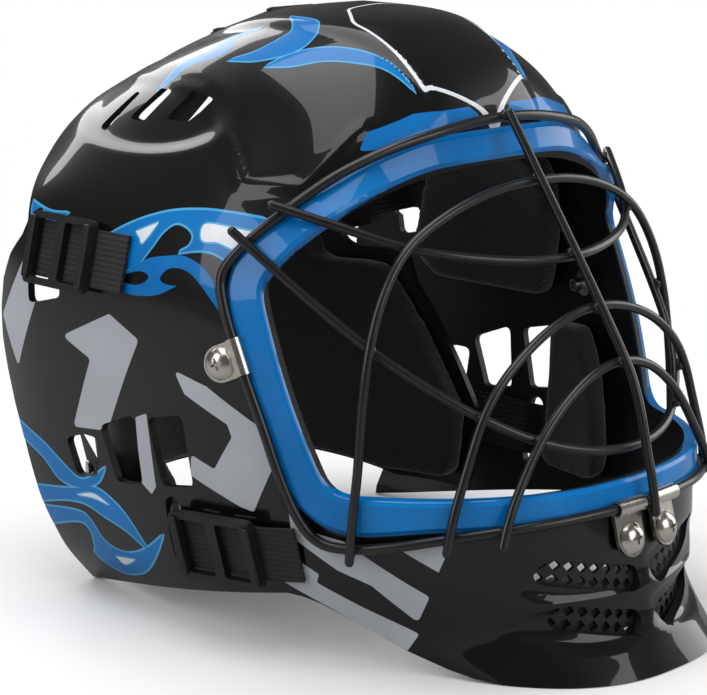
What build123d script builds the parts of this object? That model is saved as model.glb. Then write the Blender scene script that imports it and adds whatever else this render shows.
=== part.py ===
from build123d import *
import os
from math import asin, cos, degrees, pi, radians, sin, tan

# A floorball / street-hockey goalie mask, standing on its chin lip and rear corners.
# Millimetres. +Z up, the face looks along -Y, the wearer's left side is +X.

# ---- driving dimensions: shell ----
shell_width = 240.0
shell_length = 300.0          # unit for the front and rear positions of each station
shell_height = 253.0
shell_wall = 3.5
rim_overshoot = 12.0          # how far cutting tools run past the shell

# ---- driving dimensions: cage ----
wire_d = 3.8
rim_wire_d = 4.2

# ---- driving dimensions: clips and screws ----
clip_width = 15.0
clip_metal = 0.8
side_clip_reach = 9.8         # wire centre to screw centre
chin_clip_reach = 13.0
screw_head_d = 12.8
screw_head_h = 3.4
screw_shank_d = 4.0
screw_length = 12.0
nut_flange_d = 12.0
nut_flange_h = 1.0
nut_barrel_d = 6.0
nut_barrel_h = 5.0

# ---- driving dimensions: harness ----
web_width = 24.0
web_thick = 1.6
buckle_length = 42.0
buckle_width = 31.0
buckle_thick = 3.0
buckle_bar = 5.0
plate_radius = 105.0
plate_wall = 3.0
plate_pad = 12.0
rivet_d = 4.0
rivet_head_d = 8.0
rivet_head_h = 1.2

# ---- driving dimensions: pads and grilles ----
pad_thick = 12.0
chin_pad_thick = 13.0
grille_thick = 1.2
grille_lap = 3.0
vent_height = 10.5
upper_vent_length = 47.0
lower_vent_length = 40.0

# ---- clearances ----
clip_gap = 0.35               # clip loop to wire
form_gap = 0.15               # least room from a clip to the curved shell
tongue_gap = 1.7              # clip tongue to the curved shell, at the screw
seat_gap = 0.1                # screw head to clip
nut_gap = 2.0                 # flat nut flange to the curved wall, at the screw
soft_gap = 0.6                # pad to shell
web_gap = 0.4                 # webbing to its neighbours
hole_gap = 0.3                # radial, round shanks and rivets
slot_gap = 3.4                # around webbing in its slot
plate_standoff = 3.4          # flat webbing off the curved plate, for its lean and its chord

# Horizontal stations of the shell's outside, from floor to crown, in percent:
# height, half width, then front, widest and rear positions as percent of shell_length,
# then the roundness powers of the front and rear halves.
stations = [
    (0.0, 77.0, -45.7, 30.0, 61.5, 2.6, 3.4),
    (8.0, 90.0, -41.3, 23.3, 63.3, 2.1, 3.6),
    (18.0, 97.0, -40.0, 20.7, 64.7, 2.15, 3.8),
    (30.0, 99.0, -37.7, 19.3, 65.3, 2.35, 3.8),
    (43.0, 100.0, -35.0, 19.3, 66.0, 2.5, 3.8),
    (57.0, 98.5, -29.3, 19.3, 65.7, 2.6, 3.8),
    (67.0, 93.5, -21.0, 19.3, 63.3, 2.8, 3.4),
    (75.0, 84.0, -14.0, 20.0, 59.0, 2.9, 3.0),
    (82.0, 73.5, -12.3, 20.7, 53.5, 3.0, 3.0),
    (88.5, 63.5, -9.0, 19.3, 46.0, 2.9, 2.4),
    (94.0, 50.0, -4.0, 15.5, 31.5, 2.6, 2.0),
    (98.0, 31.0, 1.3, 12.0, 20.5, 2.3, 2.0),
    (100.0, 10.0, 6.0, 9.3, 12.5, 2.0, 2.0),
]
outline_points = 36


def station_sizes(row, inset):
    """Height, half width, front, widest, rear in mm of one station, moved inwards by inset."""
    level, half, front, widest, rear = row[:5]
    z = shell_height * level / 100
    w = shell_width / 2 * half / 100
    f, m, r = (shell_length * share / 100 for share in (front, widest, rear))
    w_in = inset * w / (shell_width / 2)
    f_in = inset * (m - f) / (shell_length / 2)
    r_in = inset * (r - m) / (shell_length / 2)
    return z - inset * z / shell_height, w - w_in, f + f_in, m, r - r_in


def station_outline(row, inset):
    """Points round one station: a front and a rear half, each a rounded-off ellipse."""
    z, w, f, m, r = station_sizes(row, inset)
    points = []
    for step in range(outline_points):
        angle = 2 * pi * (step + 0.5) / outline_points
        power, depth = (row[6], r - m) if sin(angle) > 0 else (row[5], m - f)
        x = w * abs(cos(angle)) ** (2 / power) * (1 if cos(angle) > 0 else -1)
        y = m + depth * abs(sin(angle)) ** (2 / power) * (1 if sin(angle) > 0 else -1)
        points.append((x, y))
    return z, points


def form(inset):
    """The closed head form that the shell is moulded on, moved inwards by inset."""
    with BuildPart() as solid:
        for row in stations:
            z, points = station_outline(row, inset)
            with BuildSketch(Plane.XY.offset(z)):
                with BuildLine():
                    Spline(*points, periodic=True)
                make_face()
        loft()
    return solid.part


def wall_x(y, z):
    """Half width of the shell's outside at a place given by y and z."""
    rows = [station_sizes(row, 0) + row[5:] for row in stations]
    low, high = next(pair for pair in zip(rows, rows[1:]) if z <= pair[1][0])
    share = (z - low[0]) / (high[0] - low[0])
    _, w, f, m, r, front_power, rear_power = (a + (b - a) * share for a, b in zip(low, high))
    power, depth = (rear_power, r - m) if y > m else (front_power, m - f)
    return w * (1 - (abs(y - m) / depth) ** power) ** (1 / power)


side_reach = shell_width / 2 + rim_overshoot
side_plane = Plane.YZ.offset(-side_reach)


def side_prism(sketch):
    """A side-view sketch on side_plane, pushed right across the mask."""
    with BuildPart() as prism:
        extrude(sketch, amount=2 * side_reach)
    return prism.part


# ---- side view of the shell: (y, z) ----
bottom_front = [(-100, 0), (-80, 3.5), (-64, 9), (-48, 17), (-32, 25), (-18, 27.5)]
rear_corner = (117, 0)
rear_edge = [rear_corner, (121, 28), (133, 64), (145, 95), (150, 122), (142, 147), (131, 160)]
rear_crown = [(131, 160), (137, 172), (146, 190), (152, 210), (156, 235)]
port_bottom_z = 77.5
port_low_corner = (-43, 73)
port_high_corner = (-12, 154)
port_brow = [(-22, 170), (-31, 184), (-37, 193), (-39, 195.5)]
port_low_radius = 13.0
port_high_radius = 8.0

with BuildSketch(side_plane) as side_outline:
    with BuildLine():
        chin = Line((-160, 0), bottom_front[0])
        jaw = Spline(*bottom_front)
        under = Line(bottom_front[-1], rear_corner)
        rear = Spline(*rear_edge)
        nape = Spline(*rear_crown)
        Polyline(rear_crown[-1], (156, 270), (-160, 270), (-160, 0))
    make_face()

with BuildSketch(side_plane) as port_outline:
    with BuildLine():
        Polyline((-160, port_bottom_z), (-100, port_bottom_z), port_low_corner, port_high_corner)
        Spline(port_high_corner, *port_brow)
        Polyline(port_brow[-1], (-160, 198), (-160, port_bottom_z))
    make_face()
    low_corner = port_outline.vertices().sort_by_distance(Vector(*port_low_corner))[0]
    fillet(low_corner, port_low_radius)
    high_corner = port_outline.vertices().sort_by_distance(Vector(*port_high_corner))[0]
    fillet(high_corner, port_high_radius)

# ---- side vents, crown vents: rounded quads in side view ----
side_vents = [
    [(100, 73), (94, 58), (80, 59), (78, 77), (87, 77)],
    [(76, 83), (53, 92), (50, 62), (67, 60)],
    [(45, 92), (24, 97), (20, 67), (38, 64)],
]
crown_vents = [
    [(112, 202), (106, 201), (97, 217), (101, 217)],
    [(94, 207), (84, 206.5), (75, 220), (84, 220)],
    [(71, 209), (58, 208), (46, 219), (62, 221)],
]
vent_corner = 3.0
crown_vent_corner = 1.6

vents = []
for corners, radius in [(v, vent_corner) for v in side_vents] + [(v, crown_vent_corner) for v in crown_vents]:
    with BuildSketch(side_plane) as vent:
        with BuildLine():
            Polyline(*corners, close=True)
        make_face()
        fillet(vent.vertices(), radius)
    vents.append(side_prism(vent.sketch))

# ---- strap slots ----
upper_web_z = 153.0
upper_slot_y = 124.0
lower_web_z = 45.0
lower_slot_y = 33.0
top_slot_y = 132.0
slot_length = web_width + 2 * slot_gap
slot_width = web_thick + 2 * slot_gap
window_corners = [(124, 128), (126, 148), (104, 148), (101, 134)]

slots = []
for y, z in ((upper_slot_y, upper_web_z), (lower_slot_y, lower_web_z)):
    with BuildSketch(side_plane) as slot:
        with Locations((y, z)):
            SlotOverall(slot_length, slot_width, rotation=90)
    slots.append(side_prism(slot.sketch))
with BuildSketch(side_plane) as window:
    with BuildLine():
        Polyline(*window_corners, close=True)
    make_face()
    fillet(window.vertices(), vent_corner)
slots.append(side_prism(window.sketch))
with BuildPart() as top_slot:
    with BuildSketch(Plane.XY.offset(shell_height * 0.8)):
        with Locations((0, top_slot_y)):
            SlotOverall(slot_length, slot_width + 2)
    extrude(amount=shell_height * 0.2)

# ---- chin vents, seen from the front: two rows on each side ----
chin_vent_tilt = 12.0
chin_vents = [(-27.0, 39.5, upper_vent_length), (-25.0, 21.0, lower_vent_length)]


def chin_slots(grow):
    """Prisms through the chin for the four vents, each side grown by grow."""
    with BuildPart() as prisms:
        with BuildSketch(Plane.XZ.offset(60)):
            for x, z, length in chin_vents:
                for side in (1, -1):
                    with Locations((side * x, z)):
                        SlotOverall(length + 2 * grow, vent_height + 2 * grow,
                                    rotation=-side * chin_vent_tilt)
        extrude(amount=100)
    return prisms.part


# ---- rim of the wire cage: route of the wire's centre on the right side ----
rim_half = [(0, -41, 212.5), (-20, -40.5, 211.5), (-38, -38.8, 208.8), (-54, -34.8, 205.5),
            (-67, -29.5, 200.7), (-78, -24.3, 195.5), (-88, -19, 188.8), (-98, -14.3, 181.5),
            (-105, -9, 175.3), (-112, -1, 165.5), (-116, 4, 156.5), (-117.4, 0.2, 145),
            (-117.6, -4, 135.5), (-117.2, -12.4, 116.5), (-115.6, -20.3, 98.5),
            (-113.3, -25.7, 81), (-109, -32.5, 62),
            (-104.5, -40, 53), (-98.8, -52.5, 52.7), (-90.5, -69.7, 56), (-79.5, -85, 60),
            (-65.3, -99.7, 63), (-44.5, -111.8, 65), (-22, -118.5, 66), (0, -120.2, 66.2)]

# ---- places where the clips hold the rim wire ----
side_clip_run = rim_half[12:14]
chin_clip_run = rim_half[-2:]


def inside_form(point):
    """Whether a point lies inside the shell's outside."""
    rows = [station_sizes(row, 0) + row[5:] for row in stations]
    low, high = next(pair for pair in zip(rows, rows[1:]) if point.Z <= pair[1][0])
    share = (point.Z - low[0]) / (high[0] - low[0])
    _, w, f, m, r, front_power, rear_power = (a + (b - a) * share for a, b in zip(low, high))
    power, depth = (rear_power, r - m) if point.Y > m else (front_power, m - f)
    return abs(point.X / w) ** power + abs((point.Y - m) / depth) ** power < 1


def wall_depth(frame, reach):
    """How far the wall lies below the wire's centre at a clip's screw."""
    shallow, deep = -20.0, 30.0
    for _ in range(40):
        depth = (shallow + deep) / 2
        found = inside_form(frame.from_local_coords(Vector(reach, -depth, 0)))
        shallow, deep = (shallow, depth) if found else (depth, deep)
    return (shallow + deep) / 2


def clip_frame(run, outward, reach, turn):
    """Plane in the middle of a straight run: x from the wire to the screw, y outward, z along.

    The clip is turned about the wire until its tongue lies on the wall at the screw."""
    start, end = Vector(*run[0]), Vector(*run[1])
    along = (start - end).normalized() * turn
    outward = Vector(*outward)
    outward = (outward - along * outward.dot(along)).normalized()
    low, high = -40.0, 40.0
    for _ in range(40):
        lean = (low + high) / 2
        leaned = outward.rotate(Axis((0, 0, 0), along), lean)
        frame = Plane(origin=(start + end) / 2, x_dir=leaned.cross(along), z_dir=along)
        low, high = (lean, high) if wall_depth(frame, reach) < tongue_depth else (low, lean)
    return frame


loop_in = rim_wire_d / 2 + clip_gap
loop_out = loop_in + clip_metal
tongue_depth = loop_out + tongue_gap
side_clip_frame = clip_frame(side_clip_run, (-1, -0.2, 0.02), side_clip_reach, 1)
chin_clip_frame = clip_frame(chin_clip_run, (-0.1, -1, 0.2), chin_clip_reach, 1)
clip_frames = [(side_clip_frame, side_clip_reach), (chin_clip_frame, chin_clip_reach)]
for frame, reach in clip_frames:
    print("clip x", frame.x_dir, "y", frame.y_dir, "wall below the wire", round(wall_depth(frame, reach), 2))

# ---- head forms, one inside the other ----
outer_form = form(0)
inner_form = form(shell_wall)

with BuildPart() as shell:
    add(outer_form)
    add(inner_form, mode=Mode.SUBTRACT)
    add(side_prism(side_outline.sketch), mode=Mode.INTERSECT)
    add(side_prism(port_outline.sketch), mode=Mode.SUBTRACT)
    for prism in vents + slots:
        add(prism, mode=Mode.SUBTRACT)
    add(top_slot.part, mode=Mode.SUBTRACT)
    add(chin_slots(0), mode=Mode.SUBTRACT)

# Screw holes through the shell at each clip, and one clip, screw and nut per place.


def both_sides(piece):
    """A piece and its mirror image on the other side of the mask."""
    return [piece, mirror(piece, about=Plane.YZ)]


# ---- back plate: where it stands, and how its outside curves ----
plate_centre = (0, 65)
plate_mid_z = 118.0
plate_bulge = 9.5
barrel_half_height = 108.0
plate_top_z = 182.0
top_rivet_z = plate_top_z - 17


def plate_radius_at(z):
    """Outside radius of the back plate at a height."""
    return plate_radius - plate_bulge * ((z - plate_mid_z) / barrel_half_height) ** 2


# The origin stands on the floor under the middle of the mask's length.
mask_front = shell_length * stations[0][2] / 100
mask_rear = (plate_centre[1] + plate_radius_at(top_rivet_z) + plate_standoff + web_thick + web_gap
             + rivet_head_h)
middle_y = round((mask_front + mask_rear) / 2, 1)


def about_origin(piece):
    """A piece moved from the drawing's zero to the mask's origin."""
    return Pos(0, -middle_y, 0) * piece


def write(placed, name):
    """Label a placed piece and write it."""
    placed.label = name
    export_step(placed, f"parts/{name}.step")


def save(piece, name):
    """Place one finished piece and write it."""
    write(about_origin(piece), name)


def group(pieces, name):
    """Identical pieces kept together in one node as separate solids."""
    write(Compound(children=[about_origin(piece) for piece in pieces]), name)


os.makedirs("parts", exist_ok=True)

holes = []
for frame, reach in clip_frames:
    screw_axis = Plane(origin=frame.from_local_coords((reach, 0, 0)),
                       x_dir=frame.z_dir, z_dir=frame.y_dir)
    with BuildPart() as hole:
        with BuildSketch(screw_axis.offset(-2 * screw_length)):
            Circle(screw_shank_d / 2 + hole_gap)
        extrude(amount=2 * screw_length + tongue_depth)
    holes += both_sides(hole.part)
with BuildPart() as drilled_shell:
    add(shell.part)
    for hole in holes:
        add(hole, mode=Mode.SUBTRACT)
save(drilled_shell.part, "shell")

# ---- wire cage: routes of the wire centres, right side of the wearer first ----
centre_route = [(0, -44.5, 214.3), (0, -107, 124.5), (0, -115, 105), (0, -119, 87),
                (0, -122.6, 74), (0, -124.4, 62)]
upper_hoop = [(-102.4, -54.2, 49), (-101.9, -55, 65), (-99.5, -56, 85), (-97, -55.5, 110),
              (-92.7, -55, 132), (-85, -54.5, 152), (-71.4, -54.5, 169.5), (-50, -57, 180.5),
              (-25, -58.3, 186.8), (0, -58.6, 188.2)]
middle_hoop = [(-82.6, -87.4, 55.5), (-81, -88, 66), (-76.5, -88.2, 78), (-71, -88.5, 91),
               (-65, -89, 105.5), (-56, -90, 118), (-40, -91.3, 130.5), (-20, -91.2, 138.7),
               (0, -90.9, 141.2)]
lower_hoop = [(-67.8, -102.9, 58), (-64.3, -102.6, 68), (-56, -102, 81), (-46.3, -102.2, 95),
              (-34, -103, 107.5), (-18, -103.8, 117.5), (0, -104, 121)]
upper_cross = [(-103.8, -13.5, 185), (-87, -32.8, 177), (-70, -50.9, 168.5), (-50, -66, 163.8),
               (-25, -75.5, 160.3), (0, -78.6, 158.9)]
lower_cross = [(-115.6, -3.4, 175), (-104, -26, 154), (-90, -51.3, 132), (-77, -70, 117.5),
               (-62.6, -85.6, 105.3), (-45, -98.4, 95), (-25, -108.5, 88.8), (0, -113.4, 86.6)]
bend_share = 0.45


def across(half):
    """A route from one side of the mask to the other, through its middle point."""
    return half + [(-x, y, z) for x, y, z in reversed(half[:-1])]


def bend_radii(route):
    """As large a bend at each inner point as its two runs allow."""
    points = [Vector(*p) for p in route]
    radii = []
    for before, here, after in zip(points, points[1:], points[2:]):
        turn = radians((here - before).get_angle(after - here))
        run = min((here - before).length, (after - here).length)
        radii.append(bend_share * run / tan(turn / 2))
    return radii


def wire(route, diameter):
    """A round wire bent along a route."""
    with BuildPart() as rod:
        with BuildLine() as path:
            FilletPolyline(*route, radius=bend_radii(route))
        with BuildSketch(Plane(origin=path.line @ 0, z_dir=path.line % 0)):
            Circle(diameter / 2)
        sweep(path=path.line)
    return rod.part


with BuildPart() as cage_rim:
    rim_side = wire(rim_half, rim_wire_d)
    for side in both_sides(rim_side):
        add(side)
save(cage_rim.part, "cage_rim")
save(wire(centre_route, wire_d), "cage_centre_bar")
save(wire(across(upper_hoop), wire_d), "cage_upper_hoop")
save(wire(across(middle_hoop), wire_d), "cage_middle_hoop")
save(wire(across(lower_hoop), wire_d), "cage_lower_hoop")
save(wire(across(upper_cross), wire_d), "cage_upper_cross_bar")
save(wire(across(lower_cross), wire_d), "cage_lower_cross_bar")

# ---- clips, screws and nuts ----
cleared_form = form(-form_gap)


def clip(frame, reach):
    """A strip folded round the rim wire, its two ends together under the screw."""
    tongue_end = reach + clip_width / 2
    with BuildPart() as folded:
        with BuildSketch(Plane(origin=frame.from_local_coords((0, 0, -clip_width / 2)),
                               x_dir=frame.x_dir, z_dir=frame.z_dir)):
            Circle(loop_out)
            with Locations((tongue_end / 2, -loop_out + clip_metal)):
                Rectangle(tongue_end, 2 * clip_metal)
            Circle(loop_in, mode=Mode.SUBTRACT)
        extrude(amount=clip_width)
        with BuildSketch(Plane(origin=frame.from_local_coords((0, -loop_out - 1, 0)),
                               x_dir=frame.x_dir, z_dir=frame.y_dir)):
            with Locations((reach / 2 - loop_out / 2, 0)):
                Rectangle(reach + loop_out, clip_width)
            with Locations((reach, 0)):
                Circle(clip_width / 2)
                Circle(screw_shank_d / 2 + hole_gap, mode=Mode.SUBTRACT)
        extrude(amount=2 * loop_out + 2, mode=Mode.INTERSECT)
        add(cleared_form, mode=Mode.SUBTRACT)
    return folded.part


seat = -loop_out + 2 * clip_metal + seat_gap      # underside of a screw head, from the wire centre
inner_face = -tongue_depth - shell_wall - nut_gap # top of a nut's flange


def screw(frame, reach):
    """A domed cross-recess screw standing on the clip."""
    base = frame.from_local_coords((reach, seat, 0))
    with BuildPart() as domed:
        with BuildSketch(Plane(origin=base, x_dir=frame.z_dir, z_dir=-frame.x_dir)) as half:
            with BuildLine():
                rise = ThreePointArc((screw_head_d / 2, 0.6),
                                     (screw_head_d * 0.3, screw_head_h * 0.82), (0, screw_head_h))
                Polyline(rise @ 1, (0, -screw_length), (screw_shank_d / 2, -screw_length),
                         (screw_shank_d / 2, 0), (screw_head_d / 2, 0), rise @ 0)
            make_face()
        revolve(axis=Axis(base, frame.y_dir))
        with BuildSketch(Plane(origin=base + frame.y_dir * (screw_head_h - 1.6),
                               x_dir=frame.x_dir, z_dir=frame.y_dir)):
            Rectangle(5.2, 1.0)
            Rectangle(1.0, 5.2)
        extrude(amount=3, mode=Mode.SUBTRACT)
    return domed.part


def nut(frame, reach):
    """A flanged nut inside the shell."""
    top = frame.from_local_coords((reach, inner_face - nut_flange_h, 0))
    with BuildPart() as flanged:
        with BuildSketch(Plane(origin=top, z_dir=frame.y_dir)):
            Circle(nut_flange_d / 2)
        extrude(amount=nut_flange_h)
        with BuildSketch(Plane(origin=top, z_dir=-frame.y_dir)):
            Circle(nut_barrel_d / 2)
        extrude(amount=nut_barrel_h)
        with BuildSketch(Plane(origin=top + frame.y_dir * nut_flange_h, z_dir=-frame.y_dir)):
            Circle(screw_shank_d / 2 + hole_gap / 6)
        extrude(amount=nut_flange_h + nut_barrel_h, mode=Mode.SUBTRACT)
    return flanged.part


group(both_sides(clip(*clip_frames[0])), "side_clips")
group(both_sides(clip(*clip_frames[1])), "chin_clips")
group([one for frame in clip_frames for one in both_sides(screw(*frame))], "clip_screws")
group([one for frame in clip_frames for one in both_sides(nut(*frame))], "clip_nuts")

# ---- grilles behind the chin vents ----
grille_outer = form(shell_wall + hole_gap)
grille_inner = form(shell_wall + hole_gap + grille_thick)
diamond = 3.4
diamond_pitch = 5.6
with BuildPart() as chin_grilles:
    add(grille_outer)
    add(grille_inner, mode=Mode.SUBTRACT)
    add(chin_slots(grille_lap), mode=Mode.INTERSECT)
    for x, z, length in chin_vents:
        for side in (1, -1):
            with BuildSketch(Plane.XZ.offset(60)):
                with Locations(Location((side * x, z), -side * chin_vent_tilt)):
                    with GridLocations(diamond_pitch, diamond_pitch, int(length / diamond_pitch), 2):
                        RegularPolygon(diamond / 2 * 1.414, 4)
    extrude(amount=100, mode=Mode.SUBTRACT)
save(chin_grilles.part, "chin_grilles")

# ---- pads, each a layer between two forms cut to its own outline ----
pad_outer = form(shell_wall + soft_gap)
pad_inner = form(shell_wall + soft_gap + pad_thick)
with BuildPart() as pad_layer:
    add(pad_outer)
    add(pad_inner, mode=Mode.SUBTRACT)


with BuildPart() as chin_layer:
    add(form(shell_wall + hole_gap + grille_thick + soft_gap))
    add(form(shell_wall + chin_pad_thick), mode=Mode.SUBTRACT)


def rounded_pad(corners, radius, plane=side_plane, depth=side_reach, layer=pad_layer.part):
    """The part of a pad layer inside a rounded outline drawn on a plane."""
    with BuildPart() as pad:
        with BuildSketch(plane):
            with BuildLine():
                Polyline(*corners, close=True)
            make_face()
            fillet(vertices(), radius)
        extrude(amount=depth)
        add(layer, mode=Mode.INTERSECT)
    return pad.part


side_pad_corners = [(24, 112), (92, 112), (108, 124), (96, 156), (78, 182), (14, 182), (16, 150)]
jaw_pad_corners = [(-24, 34), (18, 34), (18, 102), (-2, 102), (-12, 80)]
front_plane = Plane.XZ.offset(-20)
for name, corners in (("side_pad", side_pad_corners), ("jaw_pad", jaw_pad_corners)):
    right, left = both_sides(rounded_pad(corners, 7))
    save(right, f"{name}_right")
    save(left, f"{name}_left")
save(rounded_pad([(-62, 203), (62, 203), (56, 226), (-56, 226)], 8, front_plane, 80), "forehead_pad")
top_plane = Plane.XY.offset(shell_height * 0.85)
save(rounded_pad([(-34, 8), (34, 8), (38, 50), (30, 92), (-30, 92), (-38, 50)], 9, top_plane, 60),
     "crown_pad")
save(rounded_pad([(-44, 12), (44, 12), (40, 36), (-40, 36)], 9, Plane.XZ.offset(60), 90,
                 chin_layer.part), "chin_pad")

# ---- back plate: a barrel-curved panel with five arms, hung on the straps ----
def barrel(radius, wall, half_height):
    """A barrel-curved wall standing round the plate's centre, open in the middle."""
    with BuildPart() as solid:
        with BuildSketch(Plane.XZ.offset(-plate_centre[1])):
            with BuildLine():
                outer = ThreePointArc((radius - plate_bulge, plate_mid_z - half_height),
                                      (radius, plate_mid_z),
                                      (radius - plate_bulge, plate_mid_z + half_height))
                inner = ThreePointArc((radius - wall - plate_bulge, plate_mid_z - half_height),
                                      (radius - wall, plate_mid_z),
                                      (radius - wall - plate_bulge, plate_mid_z + half_height))
                Line(outer @ 0, inner @ 0)
                Line(outer @ 1, inner @ 1)
            make_face()
        revolve(axis=Axis((plate_centre[0], plate_centre[1], 0), (0, 0, 1)))
    return solid.part


def plate_outline(shrink):
    """Back view of the plate's upper edge, moved inwards by shrink."""
    top = plate_top_z - shrink
    half = [(0, top), (40 - shrink, top), (62 - shrink, 172 - shrink), (110, 150), (110, 0), (0, 0)]
    points = half + [(-x, z) for x, z in reversed(half[1:-1])]
    with BuildPart() as prism:
        with BuildSketch(Plane.XZ.offset(120)):
            with BuildLine():
                Polyline(*points, close=True)
            make_face()
            fillet([v for v in vertices() if abs(v.X) > 1 and v.Z > 1], 6)
        extrude(amount=-360)
    return prism.part


def plate_wings(shrink):
    """Side view of the plate: low wings that reach forward round the head, notched above."""
    points = [(58 + shrink, 14 + shrink), (58 + shrink, 52), (98 + shrink, 110), (102 + shrink, 125 - shrink),
              (129 + shrink, 127 - shrink), (134 + shrink, 150), (140 + shrink, 190), (190, 190),
              (190, 30 + shrink), (140, 26 + shrink), (100, 14 + shrink)]
    with BuildPart() as prism:
        with BuildSketch(side_plane):
            with BuildLine():
                Polyline(*points, close=True)
            make_face()
            fillet([v for v in vertices() if v.Y < 135 and v.Z < 140], 7)
        extrude(amount=2 * side_reach)
    return prism.part


with BuildPart() as back_plate:
    add(barrel(plate_radius, plate_wall, barrel_half_height))
    add(plate_outline(0), mode=Mode.INTERSECT)
    add(plate_wings(0), mode=Mode.INTERSECT)
    with BuildSketch(Plane.XZ.offset(-plate_centre[1] - 40)):
        with Locations((0, 92), (0, 114), (0, 136)):
            SlotOverall(56, 8)
    extrude(amount=-120, mode=Mode.SUBTRACT)
with BuildPart() as back_pad:
    add(barrel(plate_radius - plate_wall - soft_gap, plate_pad, barrel_half_height))
    add(plate_outline(5), mode=Mode.INTERSECT)
    add(plate_wings(5), mode=Mode.INTERSECT)

# ---- straps: each lies on the shell, dives through its slot and ends on the back plate ----
web_out = web_gap + web_thick / 2                 # web centre to the surface it lies on
upper_buckle_y = 98.0
upper_tail_y = 58.0
upper_lean = 14.0
lower_buckle_y = 7.0
lower_tail_y = -29.5
lower_lean = -15.0
lower_web_gap = 1.4
upper_web_gap = 1.6
top_buckle_y = 100.0
top_tail_y = 62.0
slot_run = 3.6                                    # half the run that a web takes through its slot
upper_rivet_angle = 34.0                          # round the back plate, from its middle
lower_rivet_angle = 62.0
web_end_turn = 8.0                                # web end and first touch, each side of the rivet
web_touch_turn = 8.0
web_edge_turn = 22.0                              # where the web comes alongside the plate
edge_gap = 2.0
bend = 3.0


def plate_place(angle, z, out):
    """Point in plan on the right side of the back plate, a distance outside it."""
    radius = plate_radius_at(z) + out
    return -radius * sin(radians(angle)), plate_centre[1] + radius * cos(radians(angle))


def web_on_plate(angle, wall, web_z, lean, out):
    """A leaning web's place on the back plate: distance along its plane, y and height."""
    z = web_z
    for _ in range(4):
        x, y = plate_place(angle, z, out)
        across_plane = (x - wall) / cos(radians(lean))
        z = web_z - across_plane * sin(radians(lean))
    return across_plane, y, z


def side_strap(web_z, lean, buckle_y, tail_y, slot_y, gap, rivet_angle):
    """Web on the right side: a plane leaning with the wall, its route and its buckle's place."""
    wall = -wall_x(buckle_y, web_z)
    slope = -(wall_x(buckle_y + 1, web_z) - wall_x(buckle_y - 1, web_z)) / 2
    plane = Plane(origin=(wall, 0, web_z), x_dir=(cos(radians(lean)), 0, -sin(radians(lean))),
                  z_dir=(sin(radians(lean)), 0, cos(radians(lean))))
    out = -(gap + web_thick / 2)
    knee_y = buckle_y - buckle_length / 2 - 3
    tail_x = -wall_x(tail_y, web_z) - wall + out
    inside_x = -wall_x(slot_y + slot_run, web_z) - wall + shell_wall + web_out + web_gap
    on_plate = plate_standoff + web_thick / 2
    edge, touch, end = (web_on_plate(rivet_angle + turn, wall, web_z, lean, on_plate + more)[:2]
                        for turn, more in ((web_edge_turn, edge_gap), (web_touch_turn, 0), (-web_end_turn, 0)))
    route = [(tail_x, tail_y), (out + slope * (knee_y - buckle_y), knee_y),
             (out + slope * (slot_y - slot_run - buckle_y), slot_y - slot_run),
             (inside_x, slot_y + slot_run), edge, touch, end]
    return plane, route, slope


def web(plane, route):
    """Flat webbing along a route drawn on a plane, centred on it."""
    with BuildPart() as strip:
        with BuildSketch(plane.offset(-web_width / 2)):
            with BuildLine():
                FilletPolyline(*route, radius=bend)
            trace(line_width=web_thick)
        extrude(amount=web_width)
    return strip.part


def rivet_plane(angle, wall, web_z, lean):
    """Plane on the outside of a web end on the right of the back plate, z axis outwards."""
    z = web_on_plate(angle, wall, web_z, lean, 0)[2]
    x, y = plate_place(angle, z, plate_standoff + web_thick + web_gap)
    return Plane(origin=(x, y, z), z_dir=(-sin(radians(angle)), cos(radians(angle)), 0))


def rivet(plane):
    """A domed rivet whose shank passes through the web end and the plate."""
    with BuildPart() as domed:
        with BuildSketch(plane):
            Circle(rivet_head_d / 2)
        extrude(amount=rivet_head_h)
        fillet(domed.edges().sort_by(Axis(plane.origin, plane.z_dir))[-1], rivet_head_h * 0.6)
        with BuildSketch(plane):
            Circle(rivet_d / 2)
        extrude(amount=-(plate_standoff + web_gap + web_thick + plate_wall))
    return domed.part


def rivet_hole(plane):
    """The hole that a rivet passes through."""
    with BuildPart() as hole:
        with BuildSketch(plane.offset(2)):
            Circle(rivet_d / 2 + hole_gap)
        extrude(amount=-(plate_standoff + web_thick + plate_wall + 8))
    return hole.part


def buckle():
    """A ladder-lock frame: two windows, a middle bar and raised end bars; x runs along the web."""
    with BuildPart() as frame:
        with BuildSketch():
            RectangleRounded(buckle_length, buckle_width, 3)
            window = (buckle_length - 3 * buckle_bar) / 2
            with GridLocations(window + buckle_bar, 0, 2, 1):
                RectangleRounded(window, buckle_width - 2 * 3, 1.5, mode=Mode.SUBTRACT)
        extrude(amount=buckle_thick)
        with BuildSketch(Plane.XY.offset(buckle_thick)):
            with GridLocations(buckle_length - buckle_bar, 0, 2, 1):
                RectangleRounded(buckle_bar - 1, buckle_width - 4, 1.5)
        extrude(amount=1.6)
        fillet(frame.faces().sort_by(Axis.Z)[-1].edges() + frame.faces().sort_by(Axis.Z)[-2].edges(), 0.7)
    return frame.part


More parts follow.
